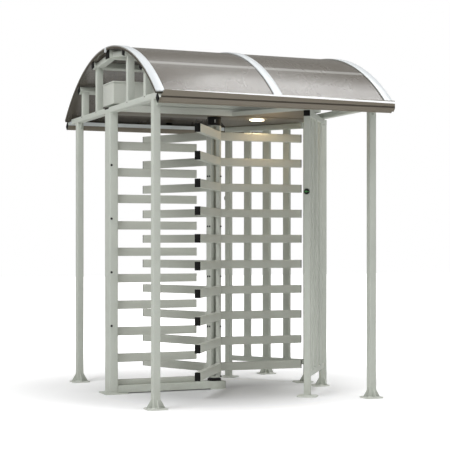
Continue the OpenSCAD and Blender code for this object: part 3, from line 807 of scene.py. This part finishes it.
def ceilingPanel():
    tipX = ceiling["cornerX"] + ceiling["edge"]
    panel = between((ceiling["start"], headBack, low.z), (high.x, high.y, low.z + ceiling["tray"]), block)
    inward = (ceiling["start"], headBack), (tipX - ceiling["tip"], high.y)
    for (x1, y1), (x2, y2) in (inward, ((tipX, high.y), (high.x, ceiling["side"]))):
        cutBelow(panel, (x1, y1, 0), (y1 - y2, x2 - x1, 0))
    openEdit(panel)
    pickFaces(lambda spot, normal: normal.z < -0.9)
    bpy.ops.mesh.inset(thickness=ceiling["inset"])
    pushPicked((0, 0, ceiling["recess"]))
    closeEdit()
    return panel


backPanel = ceilingPanel()
passageCeiling = joined([backPanel, mirrored(copyOf(backPanel))])
# painted shade: the panel's underside is dark brown for the shade under the head, and its upright edges keep the
# cabinet's paint
finish(passageCeiling, "passage_ceiling", "ceilingPaint")
secondTone(passageCeiling, "cabinetPaint", lambda spot, normal: abs(normal.z) < 0.3 and spot.z > low.z + 0.004)

lamp = {"x": 0.345, "radius": 0.056, "drop": 0.012, "bezel": 0.003, "lens": 0.0525}
bezel = disc(lamp["radius"], lamp["bezel"], rim=0.001, sides=64)
place(bezel, (lamp["x"], 0, clear - lamp["bezel"] / 2))
finish(bezel, "lamp_bezel", "whiteTrim")
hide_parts("ceiling_lamp")
lens = disc(lamp["lens"], lamp["drop"] - lamp["bezel"] + 0.001, rim=0.0085, sides=64, steps=5)
place(lens, (lamp["x"], 0, clear - (lamp["drop"] + lamp["bezel"] - 0.001) / 2))
finish(lens, "lamp_lens", "lensGlow")

# bearings

bearing = {
    "radius": 0.052, "top": 0.056, "bottom": 0.018, "body": 0.955, "flange": 0.3, "ring": (0.99, 0.009),
    "ringZ": 0.006, "tag": (0.007, 0.002, 0.022), "tagTurn": -16, "tagDrop": 0.56, "screw": (0.008, 0.003),
    "screws": 6, "screwsAt": 0.8, "screwZ": 0.0012, "firstScrew": 12,
}


def bearingHousing(height, flangeSide, z):
    body = disc(bearing["radius"] * bearing["body"], height, rim=0.002, sides=64)
    flange = disc(bearing["radius"], height * bearing["flange"], rim=0.0015, sides=64)
    place(flange, (0, 0, flangeSide * height * (1 - bearing["flange"]) / 2))
    return place(joined([body, flange]), (0, 0, z))


bearingLow, (ringWide, ringThick) = clear - bearing["top"], bearing["ring"]
upper = bearingHousing(bearing["top"], 1, clear - bearing["top"] / 2)
ring = disc(bearing["radius"] * ringWide, ringThick, rim=0.002, sides=64)
place(ring, (0, 0, bearingLow + bearing["ringZ"]))
finish(joined([upper, ring]), "top_bearing", "bearingPlastic")
lower = bearingHousing(bearing["bottom"], -1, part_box("bottom_bearing")[0].z + bearing["bottom"] / 2)
finish(lower, "bottom_bearing", "bearingPlastic")
tag = softBox(bearing["tag"], 0.0006, steps=1)  # small plate on the upper housing
place(tag, (0, -bearing["radius"] * bearing["body"], clear - bearing["top"] * bearing["tagDrop"]))
finish(place(tag, turn=(0, 0, radians(bearing["tagTurn"]))), "bearing_tag", "clipSteel")
screws = []
for index in range(bearing["screws"]):
    screw = hexBolt(*bearing["screw"], washer=False)
    place(screw, (bearing["radius"] * bearing["screwsAt"], 0, bearingLow + bearing["screwZ"]), (pi, 0, 0))
    turn = 360 / bearing["screws"] * index + bearing["firstScrew"]
    screws.append(place(screw, turn=(0, 0, radians(turn))))
finish(joined(screws), "bearing_screws", "boltSteel")
print("head made")

# comb

comb = {
    "width": 0.06, "depth": 0.124, "plate": (0.17, 0.175), "plateShift": 0.015, "holes": (0.104, 0.145),
    "bars": 9, "pitch": 0.19, "bar": (0.04, 0.06), "endPlate": 0.003, "seam": 0.0012, "sill": 0.038,
    "seamRise": (0.965, 0.975), "bead": 0.008, "bolt": (0.0085, 0.003), "boltInset": 0.011, "firstBolt": 0.487,
    "boltStep": 0.381, "bolts": 4,
}
low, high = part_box("comb_bars")
postX = -vault["halfX"]
column = upright(comb["width"], comb["depth"], feet["thick"], clear, radius=0.005)
bead = weldBead(comb["width"], comb["depth"], feet["thick"])
combFoot = place(footPlate(comb["plate"], 0, comb["holes"]), (comb["plateShift"], 0, 0))
combPost = place(joined([column, combFoot, bead]), (postX, 0, 0))
finish(combPost, "comb_post", "greyPaint")
bolt = place(disc(*comb["bolt"], rim=0.001, sides=24), (0, 0, 0.001))
boltX = postX - comb["width"] / 2 + comb["boltInset"]
place(bolt, (boltX, -comb["depth"] / 2, comb["firstBolt"]), (pi / 2, 0, 0))
repeat(bolt, comb["bolts"], (0, 0, comb["boltStep"]))
finish(joined([bolt, mirrored(copyOf(bolt))]), "comb_bolts", "boltSteel")

barDeep, barTall = comb["bar"]
barLength, barX = high.x - low.x, (low.x + high.x) / 2
sillBar = boxTube((barLength, barDeep, comb["sill"]), along=0, endRadius=0.001)
place(sillBar, (barX, 0, low.z + comb["sill"] / 2))
bar = boxTube((barLength, barDeep, barTall), along=0, radius=0.004, endRadius=0.0012)
openEdit(bar)  # a welded end plate with a fine seam behind it
for back in (comb["endPlate"], comb["endPlate"] + comb["seam"]):
    scoreAt((barLength / 2 - back, 0, 0), (1, 0, 0))
seamX = barLength / 2 - comb["endPlate"] - comb["seam"] / 2
pickFaces(lambda spot, normal: abs(spot.x - seamX) < comb["seam"] / 3 and abs(normal.x) < 0.1)
bpy.ops.transform.resize(value=(1, *comb["seamRise"]))
closeEdit()
barZ = high.z - barTall / 2 - (comb["bars"] - 1) * comb["pitch"]
rootBead = softBox([length + comb["bead"] for length in (0, barDeep, barTall)], 0.0028)
place(rootBead, (low.x, 0, barZ))
row = repeat(joined([place(bar, (barX, 0, barZ)), rootBead]), comb["bars"], (0, 0, comb["pitch"]))
finish(joined([row, sillBar]), "comb_bars", "wingPaint")

low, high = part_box("base_beam")
beamShape = {"underside": 0.008, "round": 0.004, "pad": 0.104, "plateEdge": 0.004, "seam": 0.0012}
underside = beamShape["underside"]
channel = between((low.x, low.y, underside), high, boxTube, along=0, radius=beamShape["round"], endRadius=0.0015)
openEdit(channel)  # closing plate with a seam round it
pickFaces(lambda spot, normal: normal.x > 0.9)
for thick in (beamShape["plateEdge"], beamShape["seam"]):
    bpy.ops.mesh.inset(thickness=thick)
selectMesh("DESELECT")
closeEdit()
padX = beamShape["pad"] / 2
pad = between((-padX, low.y, 0), (padX, high.y, underside + 0.001), radius=0.0015, steps=1)
finish(joined([channel, pad]), "base_beam", "greyPaint")
print("comb made")

# guide fence

fence = {
    "corner": (0.415, 0.709), "side": (0.83, 0.134), "plateX": 0.795, "post": 0.045, "bar": (0.056, 0.03),
    "bars": 3, "topRail": 0.04, "bottomRail": 0.04, "bottomZ": 0.135,
}
fencePost, (barWide, barThick), (sideX, sideY) = fence["post"], fence["bar"], fence["side"]
runX, runY = sideX - fence["corner"][0], sideY - fence["corner"][1]
fenceLength, fenceTurn = hypot(runX, runY), atan2(runY, runX)
railLow, barLow = clear - fence["topRail"], fence["bottomZ"] + fence["bottomRail"]


def onFence(piece, side):  # from the frame of a run, corner post at the origin and X along it
    place(piece, (*fence["corner"], 0), (0, 0, fenceTurn))
    return piece if side > 0 else mirrored(piece)


def postOnPlate(plateX=0.0):
    tube = upright(fencePost, fencePost, feet["thick"], railLow)
    return [tube, place(footPlate(), (plateX, 0, 0)), weldBead(fencePost, fencePost, feet["thick"])]


def bottomRail(length):
    return place(boxTube((length, barThick, fence["bottomRail"]), 0), (0, 0, barLow - fence["bottomRail"] / 2))


def longPanel():
    length, step = fenceLength - fencePost / 2, fenceLength / (fence["bars"] + 1)
    rail = boxTube((length, fencePost, fence["topRail"]), along=0)
    place(rail, ((length - fencePost) / 2, 0, clear - fence["topRail"] / 2))
    foot = place(bottomRail(fenceLength - fencePost), (fenceLength / 2, 0, 0))
    slat = joined([upright(barWide, barThick, barLow, railLow), weldBead(barWide - 0.004, barThick - 0.004, barLow)])
    return joined([rail, foot, repeat(place(slat, (step, 0, 0)), fence["bars"], (step, 0, 0))])


for side, word in ((-1, "front"), (1, "back")):
    corner = finish(onFence(joined(postOnPlate()), side), "fence_post_" + word, "greyPaint")
    paintedLightFoot(corner)
    finish(onFence(longPanel(), side), "fence_panel_" + word, "greyPaint")
    parts = postOnPlate(fence["plateX"] - sideX) + gussets(fencePost, postShape["footGusset"], (90, 180, 270))
    sidePost = place(joined(parts), (sideX, side * sideY, 0))
    finish(sidePost, "fence_post_side_" + word, "greyPaint")
    paintedLightFoot(sidePost)
    cap = tubeCap(fencePost, fence["topRail"])
    place(cap, (-fencePost / 2 - capShape["depth"] / 2, 0, clear - fence["topRail"] / 2))
    caps.append(onFence(cap, side))
finish(joined(caps), "tube_end_caps", "capPlastic")

rail = boxTube((fencePost, 2 * sideY + fencePost, fence["topRail"]), along=1, endRadius=0.001)
place(rail, (0, 0, clear - fence["topRail"] / 2))
foot = boxTube((barThick, 2 * sideY - fencePost, fence["bottomRail"]), along=1)
place(foot, (0, 0, barLow - fence["bottomRail"] / 2))
sidePanel = place(joined([rail, foot, upright(barThick, barWide, barLow, railLow)]), (sideX, 0, 0))
finish(sidePanel, "fence_panel_side", "greyPaint")
print("fence made")

# direction signals

signal = {
    "z": 1.436, "radius": 0.022, "thick": 0.008, "rim": 0.002, "bezel": 0.0024, "dish": 0.002, "lens": 0.002,
    "lensBack": 0.0022, "arrow": 0.016, "arrowThick": 0.0008, "arrowBack": 0.0009,
}


def signalRing():  # pale bezel with a dark dished lens
    ring = disc(signal["radius"], signal["thick"], rim=signal["rim"])
    openEdit(ring)
    pickFaces(lambda spot, normal: normal.z > 0.9)
    bpy.ops.mesh.inset(thickness=signal["bezel"] - signal["rim"])
    pushPicked((0, 0, -signal["dish"]))
    closeEdit()
    return place(ring, (0, 0, signal["thick"] / 2))


def signalLens():
    lens = disc(signal["radius"] - signal["bezel"], signal["lens"], rim=0.0006, sides=40, steps=1)
    return place(lens, (0, 0, signal["thick"] - signal["lensBack"]))


def arrow():  # plain arrow: a shaft and a head, a little proud of the lens
    size, thick = signal["arrow"], signal["arrowThick"]
    tip = place(cylinder(size * 0.68, thick, 3), (-size * 0.42, 0, 0), (0, 0, pi / 2))
    shaft = place(softBox((size * 1.25, size * 0.3, thick), 0.0002, steps=1), (size * 0.38, 0, 0))
    return place(joined([tip, shaft]), (0, 0, signal["thick"] - signal["arrowBack"]), (0, 0, pi / 2))


signalParts = {"bezel": (signalRing, "bezelPlastic"), "lens": (signalLens, "signalLens"), "arrow": (arrow, "arrowGlow")}
for side, word in ((-1, "front"), (1, "back")):
    for part, (maker, look) in signalParts.items():  # from lying flat to the outer face of a corner post
        piece = place(maker(), (-fencePost / 2, 0, signal["z"]), (0, -pi / 2, 0))
        finish(onFence(piece, side), f"signal_{part}_{word}", look)
        if part == "bezel":
            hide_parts("indicator_" + word)
print("signals made")

# rotor

rotor = {
    "rest": -4.5, "length": 0.7, "offset": 0.034, "bars": 10, "pitch": 0.19, "first": 0.128, "bar": (0.04, 0.06),
    "post": (0.05, 0.03), "postShift": 0.011, "plate": 0.048, "plateThick": 0.008, "plateTurn": 15,
    "plates": (0.084, 1.943), "sink": 0.002, "shaft": 0.015, "bead": (0.009, 0.012, 0.006),
    "boltRows": (0.093, 0.461, 0.830, 1.199, 1.568), "bolt": (0.0085, 0.005), "boltAside": 0.2,
}
postWide, postThick = rotor["post"]
offset, postX = rotor["offset"], rotor["postShift"]


def onWing(piece, index):
    return place(piece, turn=(0, 0, radians(rotor["rest"] + 120 * index)))


hubLow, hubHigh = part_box("rotor_hub")
(plateLow, plateHigh), plateHalf = rotor["plates"], rotor["plateThick"] / 2
tubeLow, tubeHigh = plateLow + rotor["sink"], plateHigh - rotor["sink"]
parts = []
for index in range(3):
    tube = upright(postWide, postThick, tubeLow, tubeHigh, radius=0.003, endRadius=0.0008)
    parts.append(onWing(place(tube, (postX, offset, 0)), index))
for z in (plateLow + plateHalf, plateHigh - plateHalf):
    plate = disc(rotor["plate"], rotor["plateThick"], rim=0.0008, sides=6, steps=1)
    parts.append(place(plate, (0, 0, z), (0, 0, radians(rotor["rest"] + rotor["plateTurn"]))))
for start, end in ((hubLow.z, tubeLow), (tubeHigh, hubHigh.z)):
    parts.append(place(disc(rotor["shaft"], end - start, rim=0.0015, sides=32), (0, 0, (start + end) / 2)))
# painted shade: the hub takes the darker copy of the grey paint
finish(joined(parts), "rotor_hub", "hubPaint", body="rotor")

wingStart = postX + postWide / 2
barDeep, barTall = rotor["bar"]
barLength, barZ = rotor["length"] - wingStart - capShape["depth"], rotor["first"] + barTall / 2
barMaster = boxTube((barLength, barDeep, barTall), along=0, radius=0.0045, endRadius=0.0008)
place(barMaster, (wingStart + barLength / 2, offset, barZ))
beadLong, beadWide, beadTall = rotor["bead"]
rootBead = softBox((beadLong, postThick + beadWide, barTall + beadTall), 0.003)
barMaster = joined([barMaster, place(rootBead, (wingStart, offset, barZ))])
capMaster = place(tubeCap(barDeep, barTall), (rotor["length"] - capShape["depth"] / 2, offset, barZ))
for master in (barMaster, capMaster):
    repeat(master, rotor["bars"], (0, 0, rotor["pitch"]))
wingCaps = []
for index, word in enumerate(("right", "back", "front")):
    wing = onWing(copyOf(barMaster), index)
    finish(wing, "rotor_wing_" + word, "wingPaint", body="rotor")
    wingCaps.append(onWing(copyOf(capMaster), index))
finish(joined(wingCaps), "wing_end_caps", "capPlastic", body="rotor")
for master in (barMaster, capMaster):
    bpy.data.objects.remove(master)

hubBolts = []
for index in range(3):
    for side in (-1, 1):
        x = postX + side * postWide * rotor["boltAside"]
        for z in rotor["boltRows"]:
            bolt = place(hexBolt(*rotor["bolt"]), (x, offset + postThick / 2, z), (-pi / 2, 0, 0))
            hubBolts.append(onWing(bolt, index))
finish(joined(hubBolts), "hub_bolts", "boltSteel", body="rotor")
print("rotor made")

# floor, backdrop, lamps and camera

stage = {
    "floor": 60, "floorColour": (0.88, 0.88, 0.87, 1), "seenColour": (1.10, 1.105, 1.13), "near": 1.2,
    "far": 4.0, "lift": 1.0, "haze": 0.06, "under": (-0.05, -0.25, 0), "toneNear": (0.35, 0.56),
    "toneFar": (1.2, 1.05),
}
deselectAll()
bpy.ops.mesh.primitive_plane_add(size=stage["floor"])
floor = bpy.context.object
floor.name = "studioFloor"
floorLook = bpy.data.materials.new("studioFloor")
floorLook.use_nodes = True
tree = floorLook.node_tree
do = Sums(tree)
floorValues = {"Base Color": stage["floorColour"], "Roughness": 0.75, "Specular IOR Level": 0.2}
shader = feed(tree.nodes["Principled BSDF"], floorValues)
spot = do.spot()
distance = node(tree, "VectorMath", {0: spot}, operation="LENGTH").outputs["Value"]
lift = do.ramp(distance, stage["near"], stage["far"], stage["haze"], stage["lift"] + stage["haze"])
fromMiddle = node(tree, "VectorMath", {0: spot, 1: stage["under"]}, operation="DISTANCE").outputs["Value"]
(start, toneStart), (end, toneEnd) = stage["toneNear"], stage["toneFar"]
tone = do.ramp(fromMiddle, start, end, toneStart, toneEnd)  # painted shadow: the floor's seen colour darkens towards the middle, for the shadow that a canopy of this size leaves under it
seenTone = node(tree, "VectorMath", {0: stage["seenColour"], "Scale": tone}, operation="SCALE")
glow = node(tree, "Emission", {"Color": (1, 1, 1, 1), "Strength": lift})
bright = node(tree, "BsdfDiffuse", {"Color": seenTone.outputs["Vector"]})
shown = node(tree, "AddShader", {0: bright.outputs[0], 1: glow.outputs[0]})
seen = node(tree, "LightPath").outputs["Is Camera Ray"]
mixed = node(tree, "MixShader", {0: seen, 1: shader.outputs[0], 2: shown.outputs[0]})
feed(tree.nodes["Material Output"], {"Surface": mixed.outputs[0]})
floor.data.materials.append(floorLook)

world = bpy.data.worlds.new("studio")
bpy.context.scene.world = world
world.use_nodes = True
tree = world.node_tree
ambient = feed(tree.nodes["Background"], {"Color": (1.0, 0.985, 0.94, 1), "Strength": 0.32})
white = node(tree, "Background", {"Color": (1, 1, 1, 1), "Strength": 1.0})
path = node(tree, "LightPath").outputs
seen = Sums(tree).math("MAXIMUM", path["Is Camera Ray"], path["Is Transmission Ray"])
mixed = node(tree, "MixShader", {0: seen, 1: ambient.outputs[0], 2: white.outputs[0]})
feed(tree.nodes["World Output"], {"Surface": mixed.outputs[0]})


def inScene(name, data, spot):
    made = bpy.data.objects.new(name, data)
    bpy.context.scene.collection.objects.link(made)
    made.location = spot
    return made


def areaLamp(name, spot, aim, size, power, colour=(1, 1, 1), shape="RECTANGLE"):
    data = bpy.data.lights.new(name, "AREA")
    data.shape, (data.size, data.size_y) = shape, size
    data.energy, data.color = power, colour
    turn = (Vector(aim) - Vector(spot)).to_track_quat("-Z", "Y")
    inScene(name, data, spot).rotation_euler = turn.to_euler()


lampX, lampLow = lamp["x"], clear - lamp["drop"]
areaLamp("softboxLeft", (-5.0, -2.2, 6.6), (0, 0, 1.0), (4.0, 4.0), 320)
areaLamp("softboxTop", (2.4, -1.3, 7.5), (2.0, -1.1, 1.0), (6.0, 3.6), 250)
areaLamp("softboxBack", (2.6, 1.8, 7.5), (2.0, 1.6, 1.0), (6.0, 2.6), 38)
areaLamp("softboxFront", (3.0, -9.0, 3.0), (0, 0, 1.2), (4.0, 3.0), 58)
areaLamp("passageLamp", (lampX, 0, lampLow - 0.004), (lampX, 0, 0), (0.10, 0.10), 0.5, (1.0, 0.74, 0.44), "DISK")
areaLamp("vaultFill", (0.2, -0.8, 2.2), (0.2, 0, 2.07), (1.1, 0.08), 0.8)
spill = bpy.data.lights.new("passageSpill", "POINT")
spill.energy, spill.color, spill.shadow_soft_size, spill.specular_factor = 0.9, (1.0, 0.72, 0.40), 0.06, 0.0
inScene("passageSpill", spill, (lampX + 0.02, -0.25, lampLow - 0.15))

eye = {"spot": (-3.546, -8.6735, 1.0777), "yaw": 22.72, "lens": 101.32, "shift": 0.0395}
cameraData = bpy.data.cameras.new("camera")
cameraData.lens, cameraData.sensor_width, cameraData.shift_y = eye["lens"], 36, eye["shift"]
cameraData.clip_end = 200
camera = inScene("camera", cameraData, eye["spot"])
camera.rotation_euler = (radians(90), 0, radians(-eye["yaw"]))
bpy.context.scene.camera = camera
bpy.context.scene.view_settings.view_transform = "Standard"
print("stage made")
